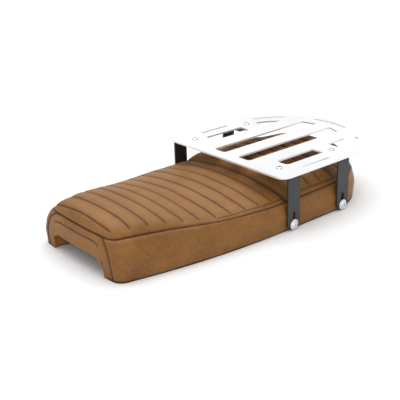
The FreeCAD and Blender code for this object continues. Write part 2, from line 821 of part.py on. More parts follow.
def round_bend(body, name):
    """Round the outside of the bend and the leg's lower corners."""
    outside, corner_z = strap_outside.value, plate_low.value
    bottom = mm("strap_bottom")

    def on_bend(middle, direction):
        return abs(middle.x - outside) < 0.01 and abs(middle.z - corner_z) < 0.01

    def on_lower_corner(middle, direction):
        return abs(direction.x) > 0.99 and middle.z < bottom + 0.01

    round_edges(body, f"{name}_bend_round", dim("bend_radius"), on_bend)
    round_edges(body, f"{name}_end_round", dim("strap_width") / 2 - 1, on_lower_corner)


for end, middle, bolt_y in (
    ("front", dim("front_strap_place"), bolt_front),
    ("rear", dim("rear_strap_place"), bolt_rear),
):
    left = strap_body(f"{end}_strap_left", middle, bolt_y)
    keep(left, f"{end}_strap_left")
    keep(mirror(f"{end}_strap_right", left), f"{end}_strap_right")

# ---------------------------------------------------------------- fasteners


# Profile of a button head, as shares of its radius and height
BUTTON_SHAPE = ((1.0, 0.3), (0.87, 0.68), (0.62, 1.0))


def button_bolt(name, length):
    """A button-head bolt, head up, with the underside of its head at Z = 0."""
    body = new_body(name)
    outline = new_sketch(body, f"{name}_profile", "XZ_Plane")
    shank, head, tall = dim("bolt_radius"), dim("head_radius"), dim("head_height")
    polygon(outline, [
        (0, -length),
        (shank - dim("thread_chamfer"), -length),
        (shank, dim("thread_chamfer") - length),
        (shank, 0),
        (head, 0),
        *[(head * across, tall * up) for across, up in BUTTON_SHAPE],
        (0, tall),
    ])
    turned = body.newObject("PartDesign::Revolution", f"{name}_turned")
    turned.Profile = outline
    turned.ReferenceAxis = (outline, ["V_Axis"])
    turned.Angle = 360.0
    socket = new_sketch(body, f"{name}_socket_outline", "XY_Plane", tall)
    hexagon(socket, dim("socket_radius"))
    recess = body.newObject("PartDesign::Pocket", f"{name}_socket")
    recess.Profile = socket
    bind(recess, "Length", dim("socket_depth"))
    return body


def hexagon(sketch, radius):
    corners = []
    for step in range(6):
        angle = math.radians(60 * step)
        corners.append((radius * math.cos(angle), radius * math.sin(angle)))
    polygon(sketch, corners)


def copy_at(name, source, x, y, z, turn=None):
    """A linked copy of a body, moved and turned about Y."""
    copy = doc.addObject("App::Link", name)
    copy.LinkedObject = source
    rotation = FreeCAD.Rotation(Vector(0, 1, 0), turn or 0.0)
    copy.Placement = FreeCAD.Placement(Vector(x.value, y.value, z.value), rotation)
    for axis, size in zip("xyz", (x, y, z)):
        bind(copy, f"Placement.Base.{axis}", size)
    return copy


def four(name, source, x, rows, z, turn=None):
    """Four of the same fastener: two along Y, mirrored across the seat."""
    near = [copy_at(f"{name}_{end}", source, x, y, z, turn) for end, y in rows]
    left = group(f"{name}_left", near)
    return group(name, [left, mirror(f"{name}_mirrored", left)])


plate_rows = (("front", bolt_front), ("rear", bolt_rear))
strap_rows = (("front", dim("front_strap_place")), ("rear", dim("rear_strap_place")))

rack_bolt = button_bolt("rack_bolt_master", dim("rack_bolt_length"))
keep(four("rack_bolts", rack_bolt, dim("bolt_column"), plate_rows, rack_top), "rack_bolts")

nut = new_body("rack_nut_master")
nut_sketch = new_sketch(nut, "rack_nut_outline", "XY_Plane")
hexagon(nut_sketch, dim("nut_across") / 2)
circle(nut_sketch, 0, 0, dim("thread_hole_radius"))
pad(nut, "rack_nut_hexagon", nut_sketch, dim("nut_height"), reverse=True)
flange_sketch = new_sketch(nut, "rack_nut_flange_outline", "XY_Plane")
circle(flange_sketch, 0, 0, dim("nut_flange_radius"))
circle(flange_sketch, 0, 0, dim("thread_hole_radius"))
pad(nut, "rack_nut_flange", flange_sketch, dim("nut_flange_height"), reverse=True)
nut_z = plate_low - dim("strap_thickness")
keep(four("rack_nuts", nut, dim("bolt_column"), plate_rows, nut_z), "rack_nuts")

washer = new_body("side_washer_master")
washer_sketch = new_sketch(washer, "side_washer_outline", "XY_Plane")
circle(washer_sketch, 0, 0, dim("washer_radius"))
circle(washer_sketch, 0, 0, dim("slot_width") / 2)
pad(washer, "side_washer_disc", washer_sketch, dim("washer_thickness"))
washer_x = strap_outside + dim("side_clearance")
bolt_z = dim("side_bolt_height")
keep(four("side_washers", washer, washer_x, strap_rows, bolt_z, 90.0), "side_washers")

side_bolt = button_bolt("side_bolt_master", dim("side_bolt_length"))
head_x = washer_x + dim("washer_thickness")
keep(four("side_bolts", side_bolt, head_x, strap_rows, bolt_z, 90.0), "side_bolts")

insert = new_body("side_insert_master")
insert_sketch = new_sketch(insert, "side_insert_outline", "XY_Plane")
circle(insert_sketch, 0, 0, dim("insert_radius"))
circle(insert_sketch, 0, 0, dim("thread_hole_radius"))
pad(insert, "side_insert_barrel", insert_sketch, dim("insert_length"), reverse=True)
insert_x = dim("seat_half_width")
keep(four("side_inserts", insert, insert_x, strap_rows, bolt_z, 90.0), "side_inserts")

# ---------------------------------------------------------------- under the pan

ceiling = dim("deck_height") - dim("pan_wall")
strip_low = ceiling - dim("stud_plate_thickness")
strip_half = dim("stud_plate_half_length")
strip_x = (-strip_half, strip_half)
for end, y in (("front", -dim("stud_row")), ("rear", dim("stud_row"))):
    half = dim("stud_plate_width") / 2
    keep(box(f"stud_plate_{end}", strip_x, (y - half, y + half), (strip_low, ceiling)),
         f"stud_plate_{end}")

studs = []
bumpers = []
for end, sign in (("front", -1), ("rear", 1)):
    stud_low = strip_low - dim("stud_length")
    studs.append(cylinder(f"stud_{end}", dim("stud_column"), dim("stud_row") * sign, stud_low,
                          dim("stud_radius"), dim("stud_length")))
    bumper_low = ceiling - dim("bumper_height")
    bumpers.append(cylinder(f"bumper_{end}", dim("bumper_column"), dim("bumper_row") * sign,
                            bumper_low, dim("bumper_radius"), dim("bumper_height")))
for label, things in (("mounting_studs", studs), ("pan_buffers", bumpers)):
    left = group(f"{label}_left", things)
    keep(group(label, [left, mirror(f"{label}_mirrored", left)]), label)

# ---------------------------------------------------------------- check and write

doc.recompute()
for thing in doc.Objects:
    if "Invalid" in thing.State or "Error" in thing.State:
        raise RuntimeError(f"{thing.Name} failed: {thing.State}")

os.makedirs("parts", exist_ok=True)
for thing in parts:
    shape = thing.Shape
    if shape.isNull() or not shape.isValid():
        raise RuntimeError(f"{thing.Label} has no valid shape")
    size = shape.BoundBox
    print(f"{thing.Label}: {len(shape.Solids)} solids, {shape.Volume / 1000:.2f} cm3, "
          f"x {size.XMin:.1f} {size.XMax:.1f}  y {size.YMin:.1f} {size.YMax:.1f}  "
          f"z {size.ZMin:.1f} {size.ZMax:.1f}")
    shape.exportStep(os.path.join("parts", f"{thing.Label}.step"))
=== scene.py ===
"""Looks of a motorcycle bench seat with a luggage rack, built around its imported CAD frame, in metres."""

import math

import bmesh
import bpy
import numpy as np
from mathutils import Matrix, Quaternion, Vector, noise
from mathutils.bvhtree import BVHTree
from mathutils.kdtree import KDTree


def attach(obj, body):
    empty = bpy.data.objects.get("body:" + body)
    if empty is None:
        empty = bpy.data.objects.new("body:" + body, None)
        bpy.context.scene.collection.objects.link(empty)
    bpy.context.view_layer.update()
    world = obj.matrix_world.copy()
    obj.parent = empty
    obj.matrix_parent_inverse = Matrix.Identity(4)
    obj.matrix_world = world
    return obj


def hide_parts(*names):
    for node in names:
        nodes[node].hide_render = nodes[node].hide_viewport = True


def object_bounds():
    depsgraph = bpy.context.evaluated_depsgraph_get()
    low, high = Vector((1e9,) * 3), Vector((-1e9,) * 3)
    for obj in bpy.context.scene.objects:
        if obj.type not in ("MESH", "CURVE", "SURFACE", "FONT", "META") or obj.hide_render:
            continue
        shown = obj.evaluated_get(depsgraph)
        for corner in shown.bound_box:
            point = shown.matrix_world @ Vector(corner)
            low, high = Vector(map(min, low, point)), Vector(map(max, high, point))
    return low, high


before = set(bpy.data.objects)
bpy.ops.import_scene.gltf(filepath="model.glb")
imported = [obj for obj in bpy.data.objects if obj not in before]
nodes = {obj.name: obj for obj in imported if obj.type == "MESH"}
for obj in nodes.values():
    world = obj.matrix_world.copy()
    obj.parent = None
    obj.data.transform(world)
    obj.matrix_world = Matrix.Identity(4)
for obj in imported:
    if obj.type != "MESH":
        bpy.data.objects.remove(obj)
cad_low, cad_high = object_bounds()

MM = 0.001

# Upholstery layout: heights of the side seam at stations along the seat, and the sewn ribs
CREASE_Y = 26.5 * MM
SEAM_STATIONS = (-0.3125, -0.2175, -0.1075, -0.0075, 0.2915)
SEAM_HEIGHTS = (0.062, 0.060, 0.051, 0.046, 0.049)
RIB_PITCH = 27.7 * MM
FIRST_FRONT_RIB = -275.5 * MM
FRONT_RIBS = 11
FIRST_REAR_RIB = 58.5 * MM
REAR_RIBS = 8
RIB_END = 11 * MM
TOP_STITCH_INSET = 8 * MM
TOP_STITCH_START = -0.1125

# Depths of the sewn detail
RIB_DEPTH = 1.3 * MM
RIB_WIDTH = 1.5 * MM
PILLOW_HEIGHT = 1.0 * MM
SEAM_DEPTH = 1.8 * MM
SEAM_WIDTH = 2.2 * MM
TUCK_DEPTH = 6 * MM
TUCK_WIDTH = 4.5 * MM
TOP_STITCH_DEPTH = 0.6 * MM
SECOND_LINE_DEPTH = 0.7 * MM
# Half widths of the painted shade along the seams, the ribs and the tuck
SEAM_SHADE = 1.3 * MM           # half width of the painted shade along a seam
RIB_SHADE = 1.2 * MM
TUCK_SHADE = 3 * MM
LEATHER_THICKNESS = 1.6 * MM
HEM_TURN = 2.5 * MM             # how far the lower edge and the seam allowance turn in
SEAM_TURN = 3 * MM
PAN_CLEARANCE = 0.6 * MM        # lowest point of the leather above the ground
CUSHION_UNDERSIDE = 34 * MM

# Nose panel: a band over the arch, with a second line of stitching under its seam
NOSE_SEAM = ((86, 3), (86, 20), (83, 35), (78, 47), (71, 55), (62, 60), (48, 61.5))
NOSE_BAND = 10.5 * MM
ARCH_HALF_WIDTH = 69 * MM
ARCH_TOP = 29 * MM
ARCH_CORNER = 20 * MM
PAN_EDGE = 1.6 * MM
SECOND_LINE_REACH = 60 * MM     # half width of the second line, which stops short of the corners
NOSE_LIMIT_Y = -0.2             # everything further forward belongs to the nose

# Spine that the side band is cast towards: nose corner and tail centres
NOSE_CENTRE = (60 * MM, -245 * MM)
TAIL_CENTRE = (0.0, 132.5 * MM)
OUTSIDE = 0.5                   # where level rays start, clear of the seat
ABOVE = 0.2                     # where rays cast downwards start

# Swelling of the padding
PADDING_VOXEL = 4.5 * MM
SWELL_PRESSURE = 4
SWELL_FRAMES = 20
SWELL_CAP = 2.5 * MM
HELD_ABOVE_SEAM = 3 * MM
HELD_AT_CREASE = 7 * MM

THREAD_RADIUS = 0.6 * MM
SEAM_THREAD_DEPTH = 1.3 * MM
STITCH = 4.6 * MM
STITCH_GAP = 0.9 * MM


# ---------------------------------------------------------------- small helpers

def smooth_step(value):
    """0 below 0, 1 above 1, and an even rise between."""
    t = np.clip(value, 0, 1)
    return t * t * (3 - 2 * t)


def groove(distance, width):
    """1 in the middle of a groove, falling to 0 beside it."""
    return np.exp(-(distance / width) ** 2)


def blur(grid, sigma, axis):
    """Gaussian blur along one axis that keeps values and slopes at the ends."""
    if sigma <= 0:
        return grid
    reach = min(int(3 * sigma) + 1, grid.shape[axis] - 1)
    weights = np.exp(-0.5 * (np.arange(-reach, reach + 1) / sigma) ** 2)
    weights /= weights.sum()
    pads = [(0, 0)] * grid.ndim
    pads[axis] = (reach, reach)
    padded = np.pad(grid, pads, mode="reflect", reflect_type="odd")
    return np.apply_along_axis(lambda line: np.convolve(line, weights, mode="valid"), axis, padded)


seam_spots = np.linspace(-0.35, 0.35, 281)
seam_line = blur(np.interp(seam_spots, SEAM_STATIONS, SEAM_HEIGHTS), 10, 0)


def seam_height(y):
    """Height of the side seam at a station along the seat."""
    return np.interp(y, seam_spots, seam_line)


def link(thing):
    bpy.context.scene.collection.objects.link(thing)
    return thing


def mesh_object(name, points, faces, material, values=None):
    """A smooth-shaded object, with the point values that its material reads."""
    mesh = bpy.data.meshes.new(name)
    mesh.from_pydata([tuple(p) for p in points], [], faces)
    mesh.polygons.foreach_set("use_smooth", [True] * len(mesh.polygons))
    for key, data in (values or {}).items():
        layer = mesh.attributes.new(key, "FLOAT", "POINT")
        layer.data.foreach_set("value", np.asarray(data, np.float32))
    mesh.materials.append(material)
    mesh.validate()
    return link(bpy.data.objects.new(name, mesh))


def grid_faces(rows, columns, closed=False):
    """Four-sided faces of a grid of points, whose rows may close on themselves."""
    steps = columns if closed else columns - 1
    faces = []
    for row in range(rows - 1):
        for column in range(steps):
            right = (column + 1) % columns
            faces.append((row * columns + column, row * columns + right,
                          (row + 1) * columns + right, (row + 1) * columns + column))
    return faces


def grid_normals(points, closed=False):
    """Unit normals of a grid of points, rows by columns by 3."""
    along = np.gradient(points, axis=0)
    if closed:
        across = (np.roll(points, -1, axis=1) - np.roll(points, 1, axis=1)) / 2
    else:
        across = np.gradient(points, axis=1)
    normals = np.cross(across, along)
    length = np.linalg.norm(normals, axis=2, keepdims=True)
    return normals / np.maximum(length, 1e-12)


def joined_tree(names):
    """A search tree over the outer surfaces of several CAD nodes."""
    points, faces = [], []
    for name in names:
        mesh = nodes[name].data
        start = len(points)
        points.extend(v.co.copy() for v in mesh.vertices)
        faces.extend([start + i for i in p.vertices] for p in mesh.polygons)
    return BVHTree.FromPolygons(points, faces)


def nearest_distances(points, line):
    """Distance of each point to the nearest point of a dense line."""
    tree = KDTree(len(line))
    for i, p in enumerate(line):
        tree.insert(p, i)
    tree.balance()
    flat = points.reshape(-1, 3)
    found = np.array([tree.find(p)[2] for p in flat])
    return found.reshape(points.shape[:-1])


def dense_line(points, step):
    """Points every step along a polyline."""
    points = np.asarray(points, float)
    lengths = np.r_[0, np.cumsum(np.linalg.norm(np.diff(points, axis=0), axis=1))]
    spots = np.arange(0, lengths[-1], step)
    return np.stack([np.interp(spots, lengths, points[:, i]) for i in range(3)], axis=1)


# ---------------------------------------------------------------- materials

def new_material(name):
    """A new material, with its node tree and its shader."""
    material = bpy.data.materials.new(name)
    material.use_nodes = True
    tree = material.node_tree
    return material, tree, tree.nodes["Principled BSDF"]


def add(tree, kind, **sockets):
    """A new node, with values for its input sockets."""
    node = tree.nodes.new(kind)
    for key, value in sockets.items():
        node.inputs[key].default_value = value
    return node


def place(tree):
    """The place of a point on the object, in metres."""
    return tree.nodes.new("ShaderNodeTexCoord").outputs["Object"]


def stretched(tree, scale):
    """The same place, scaled by a different amount along each axis."""
    mapping = tree.nodes.new("ShaderNodeMapping")
    mapping.inputs["Scale"].default_value = scale
    tree.links.new(place(tree), mapping.inputs["Vector"])
    return mapping.outputs["Vector"]


def noise_node(tree, vector, scale, detail=3, rough=0.5):
    node = add(tree, "ShaderNodeTexNoise", Scale=scale, Detail=detail, Roughness=rough)
    tree.links.new(vector, node.inputs["Vector"])
    return node.outputs["Fac"]


def ramp(tree, fac, stops):
    node = tree.nodes.new("ShaderNodeValToRGB")
    while len(node.color_ramp.elements) < len(stops):
        node.color_ramp.elements.new(0.5)
    for element, (spot, colour) in zip(node.color_ramp.elements, stops):
        element.position = spot
        element.color = (*colour, 1)
    tree.links.new(fac, node.inputs["Fac"])
    return node.outputs["Color"]


def map_range(tree, fac, low, high, new_low, new_high):
    node = tree.nodes.new("ShaderNodeMapRange")
    for key, value in (("From Min", low), ("From Max", high), ("To Min", new_low), ("To Max", new_high)):
        node.inputs[key].default_value = value
    tree.links.new(fac, node.inputs["Value"])
    return node.outputs["Result"]


def mix(tree, fac, first, second, blend="MIX"):
    node = tree.nodes.new("ShaderNodeMix")
    node.data_type = "RGBA"
    node.blend_type = blend
    colour_a = [s for s in node.inputs if s.name == "A" and s.type == "RGBA"][0]
    colour_b = [s for s in node.inputs if s.name == "B" and s.type == "RGBA"][0]
    factor = [s for s in node.inputs if s.name == "Factor" and s.type == "VALUE"][0]
    for socket, value in ((factor, fac), (colour_a, first), (colour_b, second)):
        if hasattr(value, "is_linked"):
            tree.links.new(value, socket)
        else:
            socket.default_value = (*value, 1) if socket.type == "RGBA" else value
    return [s for s in node.outputs if s.type == "RGBA"][0]


def attribute(tree, name):
    node = tree.nodes.new("ShaderNodeAttribute")
    node.attribute_name = name
    return node.outputs["Fac"]


def bump(tree, shader, layers):
    """Stacked bumps: each layer is (height, strength, distance in metres)."""
    normal = None
    for height, strength, distance in layers:
        node = add(tree, "ShaderNodeBump", Strength=strength, Distance=distance)
        tree.links.new(height, node.inputs["Height"])
        if normal is not None:
            tree.links.new(normal, node.inputs["Normal"])
        normal = node.outputs["Normal"]
    tree.links.new(normal, shader.inputs["Normal"])


def leather():
    """Brown leather: clouded and mottled, paler on the crests, with painted shade darkening it in the seams,
    ribs, tuck and rim, and a pebbled grain.
    """
    material, tree, shader = new_material("brown_leather")
    spot = place(tree)
    clouds = noise_node(tree, spot, 14, 4, 0.55)
    mottle = noise_node(tree, spot, 160, 3, 0.6)
    base = ramp(tree, clouds, ((0.30, (0.190, 0.078, 0.016)), (0.52, (0.245, 0.105, 0.023)),
                               (0.72, (0.300, 0.135, 0.032))))
    speckle = ramp(tree, mottle, ((0.35, (0.80, 0.78, 0.74)), (0.65, (1.08, 1.08, 1.06))))
    base = mix(tree, 0.7, base, speckle, "MULTIPLY")
    # paler towards the crests of the pillows and on the rolled lip round the nose arch
    on_crest = map_range(tree, attribute(tree, "crest"), 0, 1, 0, 0.35)
    # painted shade: the crease value darkens the leather towards near-black along seams, ribs, the tuck and
    # under the cushions' rim
    painted_crease_shade = map_range(tree, attribute(tree, "crease"), 0, 1, 0, 0.85)
    paler_on_crests = mix(tree, on_crest, base, (0.38, 0.185, 0.055))
    coloured = mix(tree, painted_crease_shade, paler_on_crests, (0.055, 0.017, 0.006))
    tree.links.new(coloured, shader.inputs["Base Color"])
    tree.links.new(map_range(tree, mottle, 0.3, 0.7, 0.42, 0.58), shader.inputs["Roughness"])
    shader.inputs["Specular IOR Level"].default_value = 0.3
    grain = add(tree, "ShaderNodeTexVoronoi", Scale=620)
    grain.feature = "DISTANCE_TO_EDGE"
    tree.links.new(spot, grain.inputs["Vector"])
    cells = map_range(tree, grain.outputs["Distance"], 0, 0.25, 0, 1)
    fine = noise_node(tree, spot, 2600, 2, 0.6)
    soft = noise_node(tree, spot, 60, 3, 0.5)
    bump(tree, shader, ((soft, 0.35, 0.0012), (cells, 0.35, 0.00018), (fine, 0.25, 0.00008)))
    return material


def thread():
    """Twisted dark brown thread."""
    material, tree, shader = new_material("dark_brown_thread")
    twist = noise_node(tree, stretched(tree, (900, 3800, 900)), 1, 2)
    tree.links.new(ramp(tree, twist, ((0.3, (0.030, 0.011, 0.004)), (0.7, (0.075, 0.028, 0.011)))),
                   shader.inputs["Base Color"])
    shader.inputs["Roughness"].default_value = 0.7
    bump(tree, shader, ((twist, 0.5, 0.0002),))
    return material


def aluminium():
    """Near-white aluminium, brushed from side to side."""
    material, tree, shader = new_material("brushed_white_aluminium")
    strokes = noise_node(tree, stretched(tree, (14, 900, 900)), 1, 4, 0.6)
    patches = noise_node(tree, place(tree), 18, 3, 0.5)
    tint = ramp(tree, strokes, ((0.25, (0.86, 0.865, 0.87)), (0.75, (0.95, 0.95, 0.95))))
    tree.links.new(tint, shader.inputs["Base Color"])
    tree.links.new(map_range(tree, patches, 0.3, 0.7, 0.36, 0.48), shader.inputs["Roughness"])
    shader.inputs["Metallic"].default_value = 0.35
    shader.inputs["Anisotropic"].default_value = 0.5
    bump(tree, shader, ((strokes, 0.12, 0.00006),))
    return material


def coated(name, dark, light, rough_low, rough_high, grain_scale, grain_depth):
    """Powder coat, moulded plastic or rubber: a fine pebbled surface with slight patches."""
    material, tree, shader = new_material(name)
    spot = place(tree)
    grain = noise_node(tree, spot, grain_scale, 3, 0.6)
    patches = noise_node(tree, spot, 26, 3, 0.5)
    tree.links.new(ramp(tree, patches, ((0.3, dark), (0.7, light))), shader.inputs["Base Color"])
    tree.links.new(map_range(tree, grain, 0.3, 0.7, rough_low, rough_high), shader.inputs["Roughness"])
    bump(tree, shader, ((grain, 0.4, grain_depth),))
    return material


def metal(name, dark, light, rough_low, rough_high):
    """Bare or plated steel, with slight tarnish and fine scratches."""
    material, tree, shader = new_material(name)
    spot = place(tree)
    tarnish = noise_node(tree, spot, 140, 4, 0.6)
    scratches = noise_node(tree, stretched(tree, (500, 60, 2600)), 1, 3)
    tree.links.new(ramp(tree, tarnish, ((0.35, dark), (0.65, light))), shader.inputs["Base Color"])
    tree.links.new(map_range(tree, tarnish, 0.3, 0.7, rough_low, rough_high), shader.inputs["Roughness"])
    shader.inputs["Metallic"].default_value = 1.0
    bump(tree, shader, ((scratches, 0.08, 0.00005),))
    return material


LEATHER = leather()
THREAD = thread()
ALUMINIUM = aluminium()
POWDER = coated("black_powder_coat", (0.020, 0.021, 0.023), (0.032, 0.033, 0.036),
                0.38, 0.52, 1500, 0.00012)
PLASTIC = coated("black_moulded_plastic", (0.010, 0.010, 0.011), (0.017, 0.017, 0.018),
                 0.5, 0.68, 900, 0.0002)
RUBBER = coated("black_rubber", (0.012, 0.010, 0.009), (0.024, 0.020, 0.018),
                0.65, 0.8, 1300, 0.00015)
BRIGHT = metal("bright_steel", (0.70, 0.71, 0.72), (0.90, 0.90, 0.91), 0.12, 0.24)
ZINC = metal("zinc_plated_steel", (0.46, 0.47, 0.47), (0.66, 0.67, 0.68), 0.28, 0.42)


# ---------------------------------------------------------------- padding by cloth simulation

def swollen_points(form, start):
    """Points of the form after a cloth simulation under pressure, held along the seam and the crease."""
    seam = seam_height(start[:, 1])
    held = (start[:, 2] < seam + HELD_ABOVE_SEAM) | (np.abs(start[:, 1] - CREASE_Y) < HELD_AT_CREASE)
    pins = form.vertex_groups.new(name="sewn")
    pins.add([int(i) for i in np.flatnonzero(held)], 1.0, "REPLACE")
    cloth = form.modifiers.new("swell", "CLOTH")
    cloth.settings.vertex_group_mass = "sewn"
    cloth.settings.use_pressure = True
    cloth.settings.uniform_pressure_force = SWELL_PRESSURE
    cloth.settings.effector_weights.gravity = 0
    cloth.settings.quality = 4
    cloth.collision_settings.use_collision = False
    cloth.point_cache.frame_end = SWELL_FRAMES
    for step in range(1, SWELL_FRAMES + 1):
        bpy.context.scene.frame_set(step)
    swollen = form.evaluated_get(bpy.context.evaluated_depsgraph_get()).to_mesh()
    moved = np.array([v.co for v in swollen.vertices]) - start
    print("padding moved by up to mm", round(float(np.linalg.norm(moved, axis=1).max()) / MM, 2))
    form.modifiers.clear()
    reach = np.linalg.norm(moved, axis=1, keepdims=True)
    bpy.context.scene.frame_set(1)
    return start + moved * np.minimum(1, SWELL_CAP / np.maximum(reach, 1e-9))


def padding_form():
    """Both foam blocks and their covers as one closed form, swollen a little."""
    shape = bmesh.new()
    for name in ("front_foam", "rear_foam", "front_cover", "rear_cover"):
        shape.from_mesh(nodes[name].data)
    mesh = bpy.data.meshes.new("padding")
    shape.to_mesh(mesh)
    shape.free()
    form = link(bpy.data.objects.new("padding", mesh))
    remesh = form.modifiers.new("even_mesh", "REMESH")
    remesh.mode = "VOXEL"
    remesh.voxel_size = PADDING_VOXEL
    solid = bpy.data.meshes.new_from_object(form.evaluated_get(bpy.context.evaluated_depsgraph_get()))
    form.modifiers.clear()
    form.data = solid
    points = np.array([v.co for v in solid.vertices])
    points = swollen_points(form, points)
    tree = BVHTree.FromPolygons([Vector(p) for p in points], [list(p.vertices) for p in solid.polygons])
    bpy.data.objects.remove(form)
    return tree


padding = padding_form()
skin = joined_tree(("front_cover", "rear_cover", "side_panel_left", "side_panel_right", "nose_panel"))


def cast(tree, start, direction):
    """Where a ray first meets a surface, or None."""
    return tree.ray_cast(Vector(start), Vector(direction))[0]


# ---------------------------------------------------------------- side band and nose

def outline_rays():
    """Where the right half of the side band is cast from and to, nose centre to tail centre."""
    nose_x, nose_y = NOSE_CENTRE
    tail_x, tail_y = TAIL_CENTRE
    rays = []
    for x in np.linspace(0, nose_x, 28, endpoint=False):
        rays.append(((x, -OUTSIDE), (0.0, 1.0)))
    for angle in np.radians(np.linspace(-90, 0, 46, endpoint=False)):
        out = (math.cos(angle), math.sin(angle))
        rays.append(((nose_x + out[0] * OUTSIDE, nose_y + out[1] * OUTSIDE), (-out[0], -out[1])))
    for y in np.linspace(nose_y, tail_y, 170, endpoint=False):
        rays.append(((OUTSIDE, y), (-1.0, 0.0)))
    for angle in np.radians(np.linspace(0, 90, 120)):
        out = (math.cos(angle), math.sin(angle))
        rays.append(((tail_x + out[0] * OUTSIDE, tail_y + out[1] * OUTSIDE), (-out[0], -out[1])))
    return rays


def arch_height(x):
    """Lower edge of the leather at the nose: over the arch, or at the pan's edge beside it."""
    inner = ARCH_HALF_WIDTH - ARCH_CORNER
    x = abs(x)
    if x >= ARCH_HALF_WIDTH:
        return PAN_EDGE
    if x <= inner:
        return ARCH_TOP
    return ARCH_TOP - ARCH_CORNER + math.sqrt(ARCH_CORNER ** 2 - (x - inner) ** 2)


BAND_ROWS = 40


def band_points():
    """Right half of the side band, rows from the lower edge to the seam."""
    columns = []
    for (ox, oy), (dx, dy) in outline_rays():
        low = cast(skin, (ox, oy, 0.032), (dx, dy, 0))
        bottom = arch_height(low.x) if low.y < NOSE_LIMIT_Y else PAN_EDGE
        top = float(seam_height(low.y))
        column = []
        for share in np.linspace(0, 1, BAND_ROWS):
            height = bottom + (top - bottom) * share
            hit = cast(skin, (ox, oy, height), (dx, dy, 0))
            top = float(seam_height(hit.y)) if hit else top
            column.append(tuple(hit) if hit else column[-1])
        columns.append(column)
    points = np.array(columns).transpose(1, 0, 2)
    return blur(points, 3.0, 0)


half = band_points()
mirrored = half[:, ::-1] * (-1, 1, 1)
ring = np.concatenate([half, mirrored[:, 1:-1]], axis=1)
seam_ring = ring[-1]
seam_dense = dense_line(np.vstack([seam_ring, seam_ring[:1]]), 0.5 * MM)


def nose_line(inset):
    """A line of the nose panel in the front view, mirrored, inset from its seam, laid on the leather."""
    sides = [(x * MM, z * MM) for x, z in NOSE_SEAM]
    upright = [(x - inset * min(1.0, 0.35 + 0.65 * (x - 40 * MM) / (44 * MM)), z - inset * (z > 30 * MM))
               for x, z in sides]
    line = upright + [(-x, z) for x, z in reversed(upright)]
    points = []
    for x, z in line:
        hit = cast(skin, (x, -OUTSIDE, z), (0, 1, 0))
        if hit:
            points.append(tuple(hit))
    points = dense_line(points, 1 * MM)
    for _ in range(6):
        points[1:-1] = (points[:-2] + 2 * points[1:-1] + points[2:]) / 4
    return points


nose_seam = nose_line(0.0)


def band_skin():
    """The side band with its seam rolled in, puckers under the seam, the nose panel's seams, and the painted
    shade along them.
    """
    points = ring
    normals = grid_normals(points, closed=True)
    outward = np.sign(np.sum(normals[:, :, :2] * points[:, :, :2], axis=2)).mean() or 1
    normals = normals * outward
    to_seam = nearest_distances(points, seam_dense)
    to_nose = nearest_distances(points, dense_line(nose_seam, 0.5 * MM))
    on_nose = points[:, :, 1] < NOSE_LIMIT_Y
    to_band = np.abs(to_nose - NOSE_BAND)
    inside = (np.abs(points[:, :, 0]) < SECOND_LINE_REACH) & on_nose & (points[:, :, 2] > ARCH_TOP)
    seam = groove(to_seam, SEAM_WIDTH)
    nose = groove(to_nose, SEAM_WIDTH) * on_nose
    second = groove(to_band, RIB_WIDTH) * inside
    rumple = np.array([[noise.noise(Vector(p) * 26) + 0.5 * noise.noise(Vector(p) * 70) for p in row]
                       for row in points])
    pucker = np.array([[noise.noise(Vector((p[0] * 110, p[1] * 110, p[2] * 30))) for p in row]
                       for row in points])
    lift = 0.9 * MM * rumple + 0.5 * MM * pucker * groove(to_seam, 11 * MM)
    lift = lift - SEAM_DEPTH * np.maximum(seam, nose) - SECOND_LINE_DEPTH * second
    lift += 1.0 * MM * groove(to_seam - 6 * MM, 5 * MM)
    moved = points + normals * lift[:, :, None]
    # Painted shade: darkens the leather along the side seam, the nose seam and the nose's second line of
    # stitching
    crease = np.clip(np.maximum.reduce([groove(to_seam, SEAM_SHADE), groove(to_nose, SEAM_SHADE) * on_nose,
                                        0.6 * groove(to_band, 1.0 * MM) * inside]), 0, 1)
    tuck = moved[-1] - normals[-1] * SEAM_TURN + (0, 0, 1.0 * MM)
    hem = moved[0] - normals[0] * HEM_TURN
    hem[:, 2] = np.maximum(hem[:, 2] - 1.0 * MM * (hem[:, 2] < 10 * MM), PAN_CLEARANCE)
    moved[:, :, 2] = np.maximum(moved[:, :, 2], PAN_CLEARANCE)
    moved = np.concatenate([hem[None], moved, tuck[None]], axis=0)
    crease = np.concatenate([crease[:1], crease, crease[-1:]], axis=0)
    return moved, crease


band, band_crease_shade = band_skin()
rows, columns = band.shape[:2]


def inside_nose(p):
    """Whether a point of the band lies within the nose panel."""
    if p[1] > NOSE_LIMIT_Y:
        return False
    limit = np.interp(p[2], [z * MM for _, z in NOSE_SEAM], [x * MM for x, _ in NOSE_SEAM])
    return abs(p[0]) < limit


def band_piece(name, choose, values):
    """The faces of the band that a test chooses, as a leather panel with its painted crease shade values."""
    faces = []
    flat = band.reshape(-1, 3)
    for face in grid_faces(rows, columns, closed=True):
        if choose(flat[list(face)].mean(axis=0)):
            faces.append(face)
    used = sorted({i for face in faces for i in face})
    renumber = {old: new for new, old in enumerate(used)}
    faces = [tuple(renumber[i] for i in face) for face in faces]
    piece = mesh_object(name, flat[used], faces, LEATHER,
                        {"crease": values.reshape(-1)[used], "crest": np.zeros(len(used))})
    thick = piece.modifiers.new("leather_thickness", "SOLIDIFY")
    thick.thickness = LEATHER_THICKNESS
    thick.offset = -1
    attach(piece, "seat")
    return piece


nose_piece = band_piece("nose_panel_leather", inside_nose, band_crease_shade)
left_piece = band_piece("side_panel_left_leather",
                        lambda p: not inside_nose(p) and p[0] > 0, band_crease_shade)
right_piece = band_piece("side_panel_right_leather",
                         lambda p: not inside_nose(p) and p[0] <= 0, band_crease_shade)
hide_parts("nose_panel")
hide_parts("side_panel_left")
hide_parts("side_panel_right")


# ---------------------------------------------------------------- ribbed cushions

